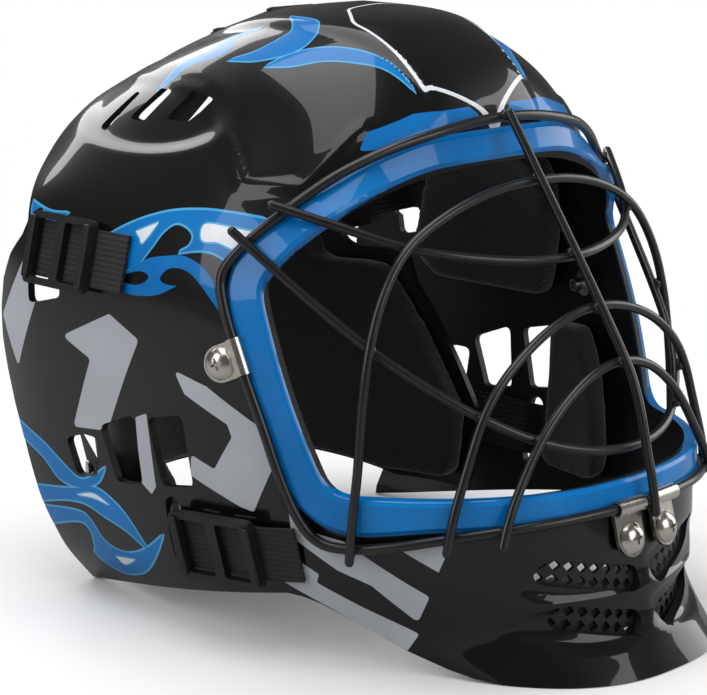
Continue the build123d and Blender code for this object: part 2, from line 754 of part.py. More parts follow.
upper = side_strap(upper_web_z, upper_lean, upper_buckle_y, upper_tail_y, upper_slot_y, upper_web_gap,
                   upper_rivet_angle)
lower = side_strap(lower_web_z, lower_lean, lower_buckle_y, lower_tail_y, lower_slot_y, lower_web_gap,
                   lower_rivet_angle)
rivets = []
holes = []
for name, (plane, route, slope), z, lean, y, gap, angle in (
        ("upper", upper, upper_web_z, upper_lean, upper_buckle_y, upper_web_gap, upper_rivet_angle),
        ("lower", lower, lower_web_z, lower_lean, lower_buckle_y, lower_web_gap, lower_rivet_angle)):
    print(name, "web route", [tuple(round(v, 1) for v in plane.from_local_coords((u, v, 0))) for u, v in route])
    spot = rivet_plane(angle, -wall_x(y, z), z, lean)
    rivets += both_sides(rivet(spot))
    holes += both_sides(rivet_hole(spot))
    with BuildPart() as strap:
        add(web(plane, route))
        add(rivet_hole(spot), mode=Mode.SUBTRACT)
    right, left = both_sides(strap.part)
    save(right, f"{name}_strap_right")
    save(left, f"{name}_strap_left")
    along = (plane.y_dir + plane.x_dir * slope).normalized()
    seat_point = plane.from_local_coords((-(gap + web_thick + web_gap), y, 0))
    seat_plane = Plane(origin=seat_point, x_dir=along, z_dir=plane.z_dir.cross(along))
    print(name, "buckle slides along", tuple(round(v, 4) for v in along), "outward",
          tuple(round(v, 3) for v in seat_plane.z_dir), "at", tuple(round(v, 2) for v in seat_point))
    placed = seat_plane.location * buckle()
    right, left = both_sides(placed)
    save(right, f"{name}_buckle_right")
    save(left, f"{name}_buckle_left")


def crown_z(y):
    """Height of the shell's outside on the middle line behind the crown's top."""
    rows = [station_sizes(row, 0) for row in stations]
    low, high = next(pair for pair in zip(rows, rows[1:]) if pair[0][4] >= y >= pair[1][4]
                     and pair[0][0] > shell_height / 2)
    return low[0] + (high[0] - low[0]) * (low[4] - y) / (low[4] - high[4])


top_slope = (crown_z(top_buckle_y + 6) - crown_z(top_buckle_y - 6)) / 12
top_out = 1.5 + web_out
knee_y = top_buckle_y - buckle_length / 2 - 3
top_base = crown_z(top_buckle_y) + top_out
inside_y = top_slot_y + slot_run
on_plate = plate_standoff + web_thick / 2
top_end_z = top_rivet_z - 9
top_route = [(top_tail_y, crown_z(top_tail_y) + top_out), (knee_y, top_base + top_slope * (knee_y - top_buckle_y)),
             (top_slot_y - slot_run, top_base + top_slope * (top_slot_y - slot_run - top_buckle_y)),
             (inside_y, crown_z(inside_y) - shell_wall - web_out - 2)]
top_route += [(plate_centre[1] + plate_radius_at(z) + on_plate, z)
              for z in (plate_top_z + 6, top_rivet_z + 9, top_end_z)]
print("top web route", [tuple(round(v, 1) for v in point) for point in top_route])
top_spot = Plane(origin=(0, plate_centre[1] + plate_radius_at(top_rivet_z) + plate_standoff
                         + web_thick + web_gap, top_rivet_z), z_dir=(0, 1, 0))
with BuildPart() as top_strap:
    add(web(Plane.YZ, top_route))
    add(rivet_hole(top_spot), mode=Mode.SUBTRACT)
save(top_strap.part, "top_strap")
along = Vector(0, 1, top_slope).normalized()
top_seat = Plane(origin=(0, top_buckle_y, top_base + web_thick / 2 + web_gap), x_dir=along,
                 z_dir=Vector(1, 0, 0).cross(along))
save(top_seat.location * buckle(), "top_buckle")
print("top buckle slides along", tuple(round(v, 4) for v in along), "outward", top_seat.z_dir)
rivets.append(rivet(top_spot))
holes.append(rivet_hole(top_spot))
group(rivets, "plate_rivets")

with BuildPart() as drilled_plate:
    add(back_plate.part)
    for hole in holes:
        add(hole, mode=Mode.SUBTRACT)
save(drilled_plate.part, "back_plate")
save(back_pad.part, "back_pad")
print("origin is", middle_y, "behind the drawing's zero")
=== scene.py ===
# %% [markdown]
# # A strapped goalie mask
# A moulded shell with a face port, a welded wire cage clipped over it, and a padded back plate on
# five webbing straps. The moving frame comes from the CAD model; this notebook adds the looks.
# We start by loading that frame and noting its box, because the shell's width and the drawing's zero are
# taken from it.

# %% Load the frame
import bpy
import bmesh
import numpy as np
from math import cos, sin, tan, pi, radians
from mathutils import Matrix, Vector
from mathutils.bvhtree import BVHTree


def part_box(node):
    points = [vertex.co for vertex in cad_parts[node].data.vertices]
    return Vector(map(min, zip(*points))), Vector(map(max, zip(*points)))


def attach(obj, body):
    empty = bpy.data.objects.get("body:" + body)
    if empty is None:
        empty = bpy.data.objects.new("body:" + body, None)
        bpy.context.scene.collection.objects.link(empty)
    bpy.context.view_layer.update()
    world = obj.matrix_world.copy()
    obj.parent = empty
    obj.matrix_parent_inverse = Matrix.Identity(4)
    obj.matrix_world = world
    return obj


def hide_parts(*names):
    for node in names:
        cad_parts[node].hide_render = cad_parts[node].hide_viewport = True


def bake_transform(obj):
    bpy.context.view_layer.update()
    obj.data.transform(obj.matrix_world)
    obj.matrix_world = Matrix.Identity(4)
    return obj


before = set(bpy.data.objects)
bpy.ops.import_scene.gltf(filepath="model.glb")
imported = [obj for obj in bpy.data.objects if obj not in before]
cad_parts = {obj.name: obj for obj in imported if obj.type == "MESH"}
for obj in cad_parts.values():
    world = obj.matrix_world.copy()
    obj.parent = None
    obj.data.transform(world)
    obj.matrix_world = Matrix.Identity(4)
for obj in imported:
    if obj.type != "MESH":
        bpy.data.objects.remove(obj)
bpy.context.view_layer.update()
MM = 0.001
shell_low, shell_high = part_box("shell")
shell_length = 300 * MM                       # unit of the front and rear shares below
shell_width = shell_high.x - shell_low.x
shell_height = 253 * MM
shell_wall = 3.5 * MM
rim_front = 122.3 * MM                        # how far the cage rim reaches before the drawing's zero
zero_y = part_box("cage_rim")[0].y + rim_front  # the drawing's zero, as a place in this frame
print("shell is", round(shell_width, 3), "wide; drawing zero at y", round(zero_y, 4))


def place(x, y, z):
    """A place in this frame from millimetres in the mask's drawing."""
    return Vector((x * MM, y * MM + zero_y, z * MM))


# %% [markdown]
# ## A small language for shaders
# Node trees are hard to read when every Math node is made by hand. A wrapped socket with + and *
# lets us write a finish the way we would say it, and one method makes any other node.

# %% Sockets with arithmetic
class Sock:
    """An output of a shader node that can be used in sums."""

    def __init__(self, finish, output):
        self.finish = finish
        self.output = output

    def math(self, operation, other):
        return self.finish.node("Math", {"operation": operation}, {0: self, 1: other})

    def __add__(self, other):
        return self.math("ADD", other)

    def __mul__(self, other):
        return self.math("MULTIPLY", other)

    __radd__ = __add__
    __rmul__ = __mul__

    def wave(self):
        return self.finish.node("Math", {"operation": "SINE"}, {0: self})

    def fit(self, low, high):
        """0 below low, 1 above high, eased between."""
        return self.finish.node("MapRange", {"interpolation_type": "SMOOTHSTEP"},
                                {"Value": self, "From Min": low, "From Max": high})


class Finish:
    """A material made around one Principled shader."""

    def __init__(self, name, **values):
        self.material = bpy.data.materials.new(name)
        self.material.use_nodes = True
        self.tree = self.material.node_tree
        self.shader = self.tree.nodes["Principled BSDF"]
        for key, value in values.items():
            self.set(key.replace("_", " "), value)

    def put(self, socket, value):
        if isinstance(value, Sock):
            self.tree.links.new(value.output, socket)
        elif value is not None:
            socket.default_value = value

    def set(self, key, value):
        self.put(self.shader.inputs[key], value)

    def node(self, kind, settings=None, inputs=None, out=0):
        made = self.tree.nodes.new("ShaderNode" + kind)
        for key, value in (settings or {}).items():
            setattr(made, key, value)
        for key, value in (inputs or {}).items():
            self.put(made.inputs[key], value)
        return Sock(self, made.outputs[out])

    def where(self, output="Object"):
        return self.node("TexCoord", out=output)

    def noise(self, scale, detail=2.0, at=None):
        return self.node("TexNoise", None, {"Vector": at or self.where(), "Scale": scale,
                                            "Detail": detail}, out="Fac")

    def mix(self, factor, first, second):
        made = self.tree.nodes.new("ShaderNodeMix")
        made.data_type = "RGBA"
        for index, value in ((0, factor), (6, first), (7, second)):
            self.put(made.inputs[index], value)
        return Sock(self, made.outputs[2])

    def bump(self, height, distance, strength):
        self.set("Normal", self.node("Bump", None, {"Height": height, "Distance": distance,
                                                    "Strength": strength}))


def tone(red, green, blue):
    """A colour written 0 to 255 as on a screen, turned into Blender's linear light."""
    shares = [value / 255 for value in (red, green, blue)]
    return tuple(s / 12.92 if s < 0.04045 else ((s + 0.055) / 1.055) ** 2.4 for s in shares) + (1.0,)


# %% [markdown]
# ## Finishes
# The shell is black plastic under clear lacquer, so its colour is almost nothing and its look is
# all reflection: a low, slightly uneven roughness under a full coat. The paint on it is the same
# lacquer over another colour. Wires are powder coated, fittings are nickel, and the harness is cloth.

# %% The lacquered finishes
def lacquer(name, base, second, roughness=0.3, coat=0.8):
    """Paint or plastic under clear lacquer, its colour drifting a little over the surface."""
    finish = Finish(name, Coat_Weight=coat, Coat_Roughness=0.03, Roughness=roughness,
                    Specular_IOR_Level=0.15)
    drift = finish.noise(22.0, 3.0).fit(0.3, 0.7)
    finish.set("Base Color", finish.mix(drift, base, second))
    haze = finish.noise(60.0, 4.0)
    finish.set("Roughness", haze * 0.10 + (roughness - 0.05))
    finish.bump(finish.noise(260.0, 1.0), 0.00004, 0.25)
    return finish.material


black_gloss = lacquer("black_gloss", tone(9, 9, 10), tone(14, 14, 15))
blue_gloss = lacquer("blue_gloss", tone(0, 108, 180), tone(4, 120, 194), coat=0.5)
edge_blue = lacquer("edge_blue", tone(62, 156, 208), tone(86, 172, 218), coat=0.5)
grey_gloss = lacquer("grey_gloss", tone(170, 174, 180), tone(180, 184, 190), coat=0.4)
white_gloss = lacquer("white_gloss", tone(214, 220, 226), tone(230, 233, 238), coat=0.4)


# %% The inside, the wire, the fittings and the cloth
rib_pitch = 2.2 * MM                          # from rib to rib of the webbing, and of the knit
pick_pitch = 1.4 * MM                         # from thread to thread along the webbing


def shell_inside():
    """The unlacquered inside of the moulding: dull black with a fine grain."""
    finish = Finish("shell_inside", Roughness=0.5)
    finish.set("Base Color", finish.mix(finish.noise(40.0), tone(12, 12, 13), tone(20, 20, 21)))
    finish.bump(finish.noise(1400.0, 2.0), 0.00008, 0.5)
    return finish.material


def powder_coat():
    """Black powder coat on the cage, with a slight orange peel."""
    finish = Finish("powder_coat", Coat_Weight=0.35, Coat_Roughness=0.18)
    finish.set("Base Color", finish.mix(finish.noise(90.0), tone(13, 13, 14), tone(24, 24, 25)))
    finish.set("Roughness", finish.noise(300.0) * 0.16 + 0.26)
    finish.bump(finish.noise(900.0, 2.0), 0.00012, 0.35)
    return finish.material


def nickel():
    """Bright nickel plate, finely scratched along the strip."""
    finish = Finish("nickel", Metallic=1.0)
    stretched = finish.node("Mapping", None, {"Vector": finish.where(), "Scale": (1.0, 1.0, 14.0)})
    grain = finish.noise(700.0, 3.0, stretched)
    finish.set("Base Color", finish.mix(finish.noise(150.0, 4.0), tone(196, 190, 180), tone(232, 228, 220)))
    finish.set("Roughness", grain * 0.22 + 0.12)
    finish.bump(grain, 0.00004, 0.4)
    return finish.material


def moulding(name, base, second):
    """Satin moulded plastic with a spark-eroded grain."""
    finish = Finish(name)
    finish.set("Base Color", finish.mix(finish.noise(70.0, 3.0), base, second))
    finish.set("Roughness", finish.noise(220.0) * 0.14 + 0.36)
    finish.bump(finish.noise(1500.0, 2.0), 0.0001, 0.45)
    return finish.material


def webbing(name, across_axis, along_axis):
    """Ribbed polypropylene webbing, its ribs stepping along one axis and its picks along another."""
    finish = Finish(name, Sheen_Weight=0.2, Sheen_Roughness=0.4, Roughness=0.72)
    split = finish.node("SeparateXYZ", None, {"Vector": finish.where()})
    axes = [Sock(finish, output) for output in split.output.node.outputs]
    across, along = axes[across_axis], axes[along_axis]
    ribs = (across * (2 * pi / rib_pitch)).wave() * 0.5 + 0.5
    picks = (along * (2 * pi / pick_pitch) + across * (pi / rib_pitch)).wave() * 0.5 + 0.5
    rib_height_and_shade = ribs * 0.65 + picks * 0.35
    # Painted shade and sheen: the colour follows the weave's height, lighter on the rib crests and darker in
    # the grooves.
    finish.set("Base Color", finish.mix(rib_height_and_shade, tone(10, 10, 11), tone(36, 36, 38)))
    finish.bump(rib_height_and_shade, 0.0005, 0.8)
    return finish.material


def lining():
    """Brushed knit over foam, black, with a soft nap."""
    finish = Finish("lining", Sheen_Weight=0.5, Sheen_Roughness=0.5, Roughness=0.9)
    at = finish.where()
    parts = finish.node("SeparateXYZ", None, {"Vector": at})
    y = Sock(finish, parts.output.node.outputs[1])
    z = Sock(finish, parts.output.node.outputs[2])
    knit = (y * (2 * pi / rib_pitch)).wave() * (z * (2 * pi / rib_pitch)).wave() * 0.5 + 0.5
    nap = finish.noise(500.0, 4.0, at)
    finish.set("Base Color", finish.mix(nap, tone(18, 18, 20), tone(40, 40, 43)))
    finish.bump(knit * 0.6 + nap * 0.4, 0.0006, 0.7)
    return finish.material


inside_black = shell_inside()
wire_black = powder_coat()
bright_nickel = nickel()
black_moulding = moulding("black_moulding", tone(18, 18, 19), tone(28, 28, 30))
side_webbing = webbing("side_webbing", 2, 1)
top_webbing = webbing("top_webbing", 0, 1)
black_lining = lining()

# %% [markdown]
# ## Studio
# A pale floor that fades into a white world, five softboxes, and a camera that looks from the
# wearer's right, a little above. The world is white to the camera and through glass, and a dim
# room in reflections, so that black lacquer keeps dark areas between the softboxes' reflections.

# %% World, floor, lamps and camera
scene = bpy.context.scene
scene.view_settings.view_transform = "Standard"


def white_to_camera(tree, plain, white):
    """Mix two shaders so that the camera, and rays through glass, see the white one."""
    path = tree.nodes.new("ShaderNodeLightPath")
    either = tree.nodes.new("ShaderNodeMath")
    either.operation = "MAXIMUM"
    tree.links.new(path.outputs["Is Camera Ray"], either.inputs[0])
    tree.links.new(path.outputs["Is Transmission Ray"], either.inputs[1])
    mixed = tree.nodes.new("ShaderNodeMixShader")
    tree.links.new(either.outputs[0], mixed.inputs[0])
    tree.links.new(plain, mixed.inputs[1])
    tree.links.new(white, mixed.inputs[2])
    return mixed.outputs[0]


world = bpy.data.worlds.new("studio")
scene.world = world
world.use_nodes = True
sky = world.node_tree


def background(grey):
    made = sky.nodes.new("ShaderNodeBackground")
    made.inputs[0].default_value = (grey, grey, grey * 1.02, 1)
    return made.outputs[0]


rays = sky.nodes.new("ShaderNodeLightPath")
room = sky.nodes.new("ShaderNodeMixShader")      # even light on matt things, dimmer in reflections
sky.links.new(rays.outputs["Is Glossy Ray"], room.inputs[0])
sky.links.new(background(0.55), room.inputs[1])
sky.links.new(background(0.1), room.inputs[2])
seen = white_to_camera(sky, room.outputs[0], background(1.0))
sky.links.new(seen, sky.nodes["World Output"].inputs[0])

floor_mesh = bpy.data.meshes.new("studio_floor")
floor_half = 6.0
corners = [(x * floor_half, y * floor_half, 0) for x, y in ((-1, -1), (1, -1), (1, 1), (-1, 1))]
floor_mesh.from_pydata(corners, [], [(0, 1, 2, 3)])
floor = bpy.data.objects.new("studio_floor", floor_mesh)
scene.collection.objects.link(floor)
paper = Finish("studio_paper", Roughness=0.85)
seen_by_camera = paper.node("LightPath", out="Is Camera Ray")
bright = paper.mix(paper.noise(3.0), (0.86, 0.86, 0.86, 1), (0.9, 0.9, 0.9, 1))
paper.set("Base Color", paper.mix(seen_by_camera, (0.32, 0.32, 0.32, 1), bright))
distance = paper.node("VectorMath", {"operation": "LENGTH"}, {0: paper.where()}, out="Value")
glow = paper.node("Emission", None, {"Color": (1, 1, 1, 1)})
fade = paper.tree.nodes.new("ShaderNodeMixShader")      # white further off, so that no edge shows
paper.put(fade.inputs[0], seen_by_camera * distance.fit(0.22, 0.5))
paper.tree.links.new(paper.shader.outputs[0], fade.inputs[1])
paper.tree.links.new(glow.output, fade.inputs[2])
paper.tree.links.new(fade.outputs[0], paper.tree.nodes["Material Output"].inputs[0])
floor_mesh.materials.append(paper.material)
floor.location.z = -0.0004


def softbox(name, position, target, wide, high, watts):
    """A rectangular lamp at a position, turned to face a target."""
    lamp = bpy.data.lights.new(name, "AREA")
    lamp.shape = "RECTANGLE"
    lamp.size = wide
    lamp.size_y = high
    lamp.energy = watts
    made = bpy.data.objects.new(name, lamp)
    scene.collection.objects.link(made)
    made.location = position
    made.rotation_euler = (Vector(target) - Vector(position)).to_track_quat("-Z", "Y").to_euler()


middle = (0.0, 0.0, 0.14)
softbox("overhead", (-0.15, 0.1, 1.5), middle, 1.5, 1.0, 11.0)
softbox("left_window", (-1.5, 0.5, 0.9), middle, 0.9, 1.3, 9.0)
softbox("front_window", (0.25, -1.6, 0.8), middle, 1.1, 1.0, 8.0)
softbox("right_fill", (1.5, -0.5, 0.6), middle, 0.8, 1.2, 8.0)
softbox("back_light", (0.3, 1.5, 1.0), middle, 1.1, 0.7, 8.0)

camera_data = bpy.data.cameras.new("camera")
camera = bpy.data.objects.new("camera", camera_data)
scene.collection.objects.link(camera)
camera_data.sensor_width = 36.0
camera_data.lens = 117.1
camera_data.clip_start = 0.05
camera.location = place(-708.3, -653.3, 333.0)
look = Vector((0.6939, 0.6835, -0.2265))
camera.rotation_euler = look.to_track_quat("-Z", "Y").to_euler()
scene.camera = camera

# %% [markdown]
# ## The shell's form
# The moulding is a head form: at each height its outline is a rounded-off ellipse with its own
# width, front, widest place and rear. We blend thirteen such outlines up the height, step evenly
# round each one, and close the top at a pole. This grid also carries the relief: a raised
# crown band and the scoops round the vents.

# %% Outlines of the form
# Each row: height, half width, front, widest place and rear, in hundredths of the shell's height,
# half width and length, then how square the front and the rear of the outline are.
stations = [
    (0.0, 77.0, -45.7, 30.0, 61.5, 2.6, 3.4), (8.0, 90.0, -41.3, 23.3, 63.3, 2.1, 3.6),
    (18.0, 97.0, -40.0, 20.7, 64.7, 2.15, 3.8), (30.0, 99.0, -37.7, 19.3, 65.3, 2.35, 3.8),
    (43.0, 100.0, -35.0, 19.3, 66.0, 2.5, 3.8), (57.0, 98.5, -29.3, 19.3, 65.7, 2.6, 3.8),
    (67.0, 93.5, -21.0, 19.3, 63.3, 2.8, 3.4), (75.0, 84.0, -14.0, 20.0, 59.0, 2.9, 3.0),
    (82.0, 73.5, -12.3, 20.7, 53.5, 3.0, 3.0), (88.5, 63.5, -9.0, 19.3, 46.0, 2.9, 2.4),
    (94.0, 49.5, -4.0, 17.0, 35.0, 2.6, 2.0), (98.2, 29.0, 2.5, 14.0, 25.5, 2.3, 2.0),
    (100.0, 0.0, 13.0, 13.0, 13.0, 2.0, 2.0)]
rows_up = 168
steps_round = 260


def eased(knots, values, at):
    """Blend rows of values smoothly at the places asked for, without overshoot."""
    gaps = np.diff(knots)[:, None]
    slopes = np.diff(values, axis=0) / gaps
    inner = np.where(slopes[:-1] * slopes[1:] > 0,
                     2 * slopes[:-1] * slopes[1:] / (slopes[:-1] + slopes[1:] + 1e-12), 0)
    tangents = np.vstack([slopes[:1], inner, slopes[-1:]])
    index = np.clip(np.searchsorted(knots, at, side="right") - 1, 0, len(knots) - 2)
    share = ((at - knots[index]) / gaps[index, 0])[:, None]
    a, b = values[index], values[index + 1]
    ta, tb = tangents[index] * gaps[index], tangents[index + 1] * gaps[index]
    s2, s3 = share ** 2, share ** 3
    return ((2 * s3 - 3 * s2 + 1) * a + (s3 - 2 * s2 + share) * ta + (3 * s2 - 2 * s3) * b + (s3 - s2) * tb)


def station_ring(row):
    """Even steps round one outline, from the front's middle."""
    level, wide, front, widest, rear, front_power, rear_power = row
    angle = np.linspace(0, 2 * pi, 2881)
    across, along = np.sin(angle), -np.cos(angle)
    power = np.where(along > 0, rear_power, front_power)
    depth = np.where(along > 0, rear - widest, widest - front)
    x = shell_width / 2 * wide / 100 * np.sign(across) * np.abs(across) ** (2 / power)
    y = shell_length / 100 * (widest + depth * np.sign(along) * np.abs(along) ** (2 / power))
    run = np.concatenate([[0], np.cumsum(np.hypot(np.diff(x), np.diff(y)) + 1e-9)])
    even = np.linspace(0, run[-1], steps_round + 1)[:-1]
    return np.stack([np.interp(even, run, x), np.interp(even, run, y) + zero_y,
                     np.full(steps_round, level / 100 * shell_height)], axis=1)


def form_grid():
    """The whole form as rows of points, smoothed up its height."""
    table = np.array(stations)
    lift = np.diff(table[:, 0]) / 100 * shell_height
    draw_in = np.diff(table[:, 1]) / 100 * shell_width / 2
    knots = np.concatenate([[0], np.cumsum(np.hypot(lift, draw_in))])
    rows = eased(knots, table, np.linspace(0, knots[-1], rows_up))
    grid = np.array([station_ring(row) for row in rows])
    for _ in range(14):
        grid[1:-1] = (grid[:-2] + 2 * grid[1:-1] + grid[2:]) / 4
    grid[-1] = grid[-2].mean(0)
    return grid


def grid_normals(grid):
    """Outward direction at each point of a closed-round grid."""
    round_step = np.roll(grid, -1, axis=1) - np.roll(grid, 1, axis=1)
    up_step = np.gradient(grid, axis=0)
    normal = np.cross(round_step, up_step)
    length = np.linalg.norm(normal, axis=2, keepdims=True)
    normal = np.where(length > 1e-12, normal / np.maximum(length, 1e-12), 0)
    normal[-1] = (0, 0, 1)
    return normal


def smooth_share(value, low, high):
    """0 below low, 1 above high, eased between."""
    share = np.clip((value - low) / (high - low), 0, 1)
    return share * share * (3 - 2 * share)


def oval(u, v, centre, half_u, half_v):
    """1 inside an oval, 0 well outside."""
    reach = np.hypot((u - centre[0]) / half_u, (v - centre[1]) / half_v)
    return 1 - smooth_share(reach, 0.75, 1.15)


def ridge(spots, line, reach):
    """1 along a line through given places, falling to 0 at reach millimetres from it."""
    nearest = np.full(spots.shape[:2], 1e3)
    for start, end in zip(np.array(line[:-1], float), np.array(line[1:], float)):
        run = end - start
        share = np.clip(((spots - start) @ run) / (run @ run), 0, 1)
        nearest = np.minimum(nearest, np.linalg.norm(spots - start - share[..., None] * run, axis=2))
    return 1 - smooth_share(nearest, 0.0, reach)


brow_crease = [(-65, 112, 222), (-78, 56, 222), (-90, 26, 204), (-97, 10, 189), (-87, -12, 190),
               (-74, -18, 202), (-62, -21, 212)]


def relief(grid):
    """Height of the moulded relief over the plain form, in metres."""
    x, y, z = (grid / MM - np.array([0, zero_y / MM, 0])).transpose(2, 0, 1)
    half_band = 30 + 12 * smooth_share(y, -30, 40) - 10 * smooth_share(y, 60, 130)
    crown_band = (1 - smooth_share(abs(x), half_band - 3, half_band + 3)) * smooth_share(z, 205, 216)
    scoop = oval(y, z, (84, 212), 52, 15) * smooth_share(abs(x), 40, 52)
    crease = ridge(np.stack([-abs(x), y, z], axis=2), brow_crease, 5.0)
    chin = sum(oval(abs(x), z, (27, level), 31, 9) for level in (39.5, 21)) * (y < -60)
    return (2.0 * crown_band - 2.2 * scoop + 1.3 * crease - 2.0 * np.minimum(chin, 1)) * MM


form = form_grid()
outer_grid = form + grid_normals(form) * relief(form)[:, :, None]
outer_normals = grid_normals(outer_grid)
inner_grid = outer_grid - outer_normals * shell_wall
inner_grid[0, :, 2] = 0
print("form grid", outer_grid.shape, "top", round(float(outer_grid[:, :, 2].max()), 4))


def grid_faces(rows, columns, first=0, flip=False):
    """Faces between the rows of a closed-round grid."""
    faces = []
    for i in range(rows - 1):
        for j in range(columns):
            k = (j + 1) % columns
            face = [first + i * columns + j, first + i * columns + k,
                    first + (i + 1) * columns + k, first + (i + 1) * columns + j]
            faces.append(face[::-1] if flip else face)
    return faces


def new_object(name, verts, faces, material=None):
    """A mesh object at the origin, its doubles merged."""
    mesh = bpy.data.meshes.new(name)
    mesh.from_pydata([tuple(v) for v in verts], [], faces)
    body = bmesh.new()
    body.from_mesh(mesh)
    bmesh.ops.remove_doubles(body, verts=body.verts, dist=1e-7)
    bmesh.ops.recalc_face_normals(body, faces=body.faces)
    body.to_mesh(mesh)
    body.free()
    made = bpy.data.objects.new(name, mesh)
    scene.collection.objects.link(made)
    if material:
        mesh.materials.append(material)
    return made


def surface_tree(grid):
    """A search tree over the outside, for laying paint and trim on it."""
    verts = [Vector(v) for v in grid.reshape(-1, 3)]
    return BVHTree.FromPolygons(verts, grid_faces(grid.shape[0], grid.shape[1]))


outside = surface_tree(outer_grid)

# %% [markdown]
# ## Cutting the openings
# The face port, the open back and most vents are cut straight across the mask, so one side view
# gives them all. Each outline is pushed across as a prism and a single Boolean removes them.
# Doing it on a fine grid keeps the lacquer's reflections smooth beside the cuts.

# %% Outlines of the cuts
def rounded(points, radius, steps=7):
    """A closed outline with each corner rounded; radius may be a list."""
    radii = radius if isinstance(radius, (list, tuple)) else [radius] * len(points)
    made = []
    for i, (point, r) in enumerate(zip(points, radii)):
        here = Vector(point)
        back = (Vector(points[i - 1]) - here)
        ahead = (Vector(points[(i + 1) % len(points)]) - here)
        if r == 0:
            made.append(here)
            continue
        half_turn = back.angle(ahead) / 2
        reach = min(r / tan(half_turn), 0.49 * back.length, 0.49 * ahead.length)
        start, end = here + back.normalized() * reach, here + ahead.normalized() * reach
        for step in range(steps + 1):
            s = step / steps
            made.append(start * (1 - s) ** 2 + here * 2 * s * (1 - s) + end * s ** 2)
    return made


def slot_outline(centre, length, width, turn):
    """A round-ended slot."""
    made = []
    for end in (1, -1):
        for step in range(9):
            a = pi * step / 8 - pi / 2 + (0 if end > 0 else pi)
            u, v = end * (length - width) / 2 + width / 2 * cos(a), width / 2 * sin(a)
            made.append(Vector((centre[0] + u * cos(turn) - v * sin(turn),
                                centre[1] + u * sin(turn) + v * cos(turn))))
    return made


port = rounded([(-190, 77.5), (-43, 73), (-12, 154), (-22, 170), (-31, 184), (-39, 195.6), (-190, 197)],
               [0, 14, 9, 18, 20, 5, 0])
under_and_rear = [(-101, -30), (-100, 0), (-90, 1.2), (-80, 3.6), (-64, 9), (-48, 17), (-39, 21.5),
                  (-32, 25), (-25, 27), (-18, 27.5), (117, 0), (121, 28), (126.5, 46), (133, 64),
                  (140, 80), (145, 95), (149, 109), (150, 122), (148, 135), (142, 147), (134, 156),
                  (132, 162), (137, 172), (142, 181), (146, 190), (152, 210), (156, 235), (156, 275),
                  (240, 275), (240, -30)]
side_vents = [[(100, 73), (94, 58), (80, 59), (78, 77), (87, 77)],
              [(76, 83), (53, 92), (50, 62), (67, 60)],
              [(45, 92), (24, 97), (20, 67), (38, 64)]]
crown_vents = [[(112, 202), (106, 201), (97, 217), (101, 217)],
               [(94, 207), (84, 206.5), (75, 220), (84, 220)],
               [(71, 209), (58, 208), (46, 219), (62, 221)]]
strap_window = [(124, 128), (126, 148), (104, 148), (101, 134)]
chin_rows = [(-27.0, 39.5, 47.0), (-25.0, 21.0, 40.0)]
chin_tilt = radians(12)


def prism(outline, lift):
    """Verts and faces of a prism; lift(u, v, end) gives the place of an outline point at each end."""
    count = len(outline)
    verts = [lift(p[0], p[1], end) for end in (0, 1) for p in outline]
    faces = [list(range(count)), list(range(count, 2 * count))[::-1]]
    faces += [[i, i + count, (i + 1) % count + count, (i + 1) % count] for i in range(count)]
    return verts, faces


def cutter(name, prisms):
    """One object that holds several prisms."""
    verts, faces = [], []
    for more_verts, more_faces in prisms:
        faces += [[i + len(verts) for i in face] for face in more_faces]
        verts += more_verts
    return new_object(name, verts, faces)


def sideways(u, v, end):
    return place((-150, 150)[end], u, v)


def frontways(u, v, end):
    return place(u, (-190, -60)[end], v)


def downwards(u, v, end):
    return place(u, v, (200, 300)[end])


side_cuts = [port, under_and_rear] + [rounded(v, 3.5) for v in side_vents]
side_cuts += [rounded(v, 1.6) for v in crown_vents] + [slot_outline((33, 45), 31, 8.4, pi / 2)]
side_cuts += [slot_outline((124, 153), 31, 8.4, pi / 2)]
front_cuts = [slot_outline((side * x, z), length, 10.5, -side * chin_tilt)
              for x, z, length in chin_rows for side in (1, -1)]
cuts = [prism(outline, sideways) for outline in side_cuts]
cuts += [prism(outline, frontways) for outline in front_cuts]
cuts += [prism(slot_outline((0, 132), 31, 10.4, 0), downwards)]
main_cutter = cutter("main_cutter", cuts)
window_cutter = cutter("window_cutter", [prism(rounded(strap_window, 3), sideways)])


def cut(target, tools, operation="DIFFERENCE"):
    """Take each tool from the target, or keep only what is inside it, with an exact Boolean."""
    for tool in tools:
        step = target.modifiers.new("cut", "BOOLEAN")
        step.operation = operation
        step.solver = "EXACT"
        step.object = tool
    bpy.context.view_layer.update()
    result = bpy.data.meshes.new_from_object(target.evaluated_get(bpy.context.evaluated_depsgraph_get()))
    target.modifiers.clear()
    old = target.data
    target.data = result
    bpy.data.meshes.remove(old)
    return target


# %% Make the shell and cut it
def closed_shell(name, outer, inner):
    """Two grids, one inside the other, joined along the bottom."""
    count = rows_up * steps_round
    verts = np.concatenate([outer.reshape(-1, 3), inner.reshape(-1, 3)])
    faces = grid_faces(rows_up, steps_round) + grid_faces(rows_up, steps_round, count, flip=True)
    for j in range(steps_round):
        k = (j + 1) % steps_round
        faces.append([k, j, count + j, count + k])
    return new_object(name, verts, faces)


shell = cut(closed_shell("shell_moulding", outer_grid, inner_grid), [main_cutter, window_cutter])


def sort_faces(target):
    """Outside faces get the lacquer, all others the plain inside finish; cuts stay crisp."""
    mesh = target.data
    mesh.materials.clear()
    mesh.materials.append(black_gloss)
    mesh.materials.append(inside_black)
    for face in mesh.polygons:
        near, normal, _, gap = outside.find_nearest(face.center)
        face.material_index = 0 if gap < 0.0004 and normal.dot(face.normal) > 0.5 else 1
        face.use_smooth = True
    mesh.set_sharp_from_angle(angle=radians(35))


sort_faces(shell)
print("shell faces", len(shell.data.polygons))
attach(shell, "mask")
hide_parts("shell")

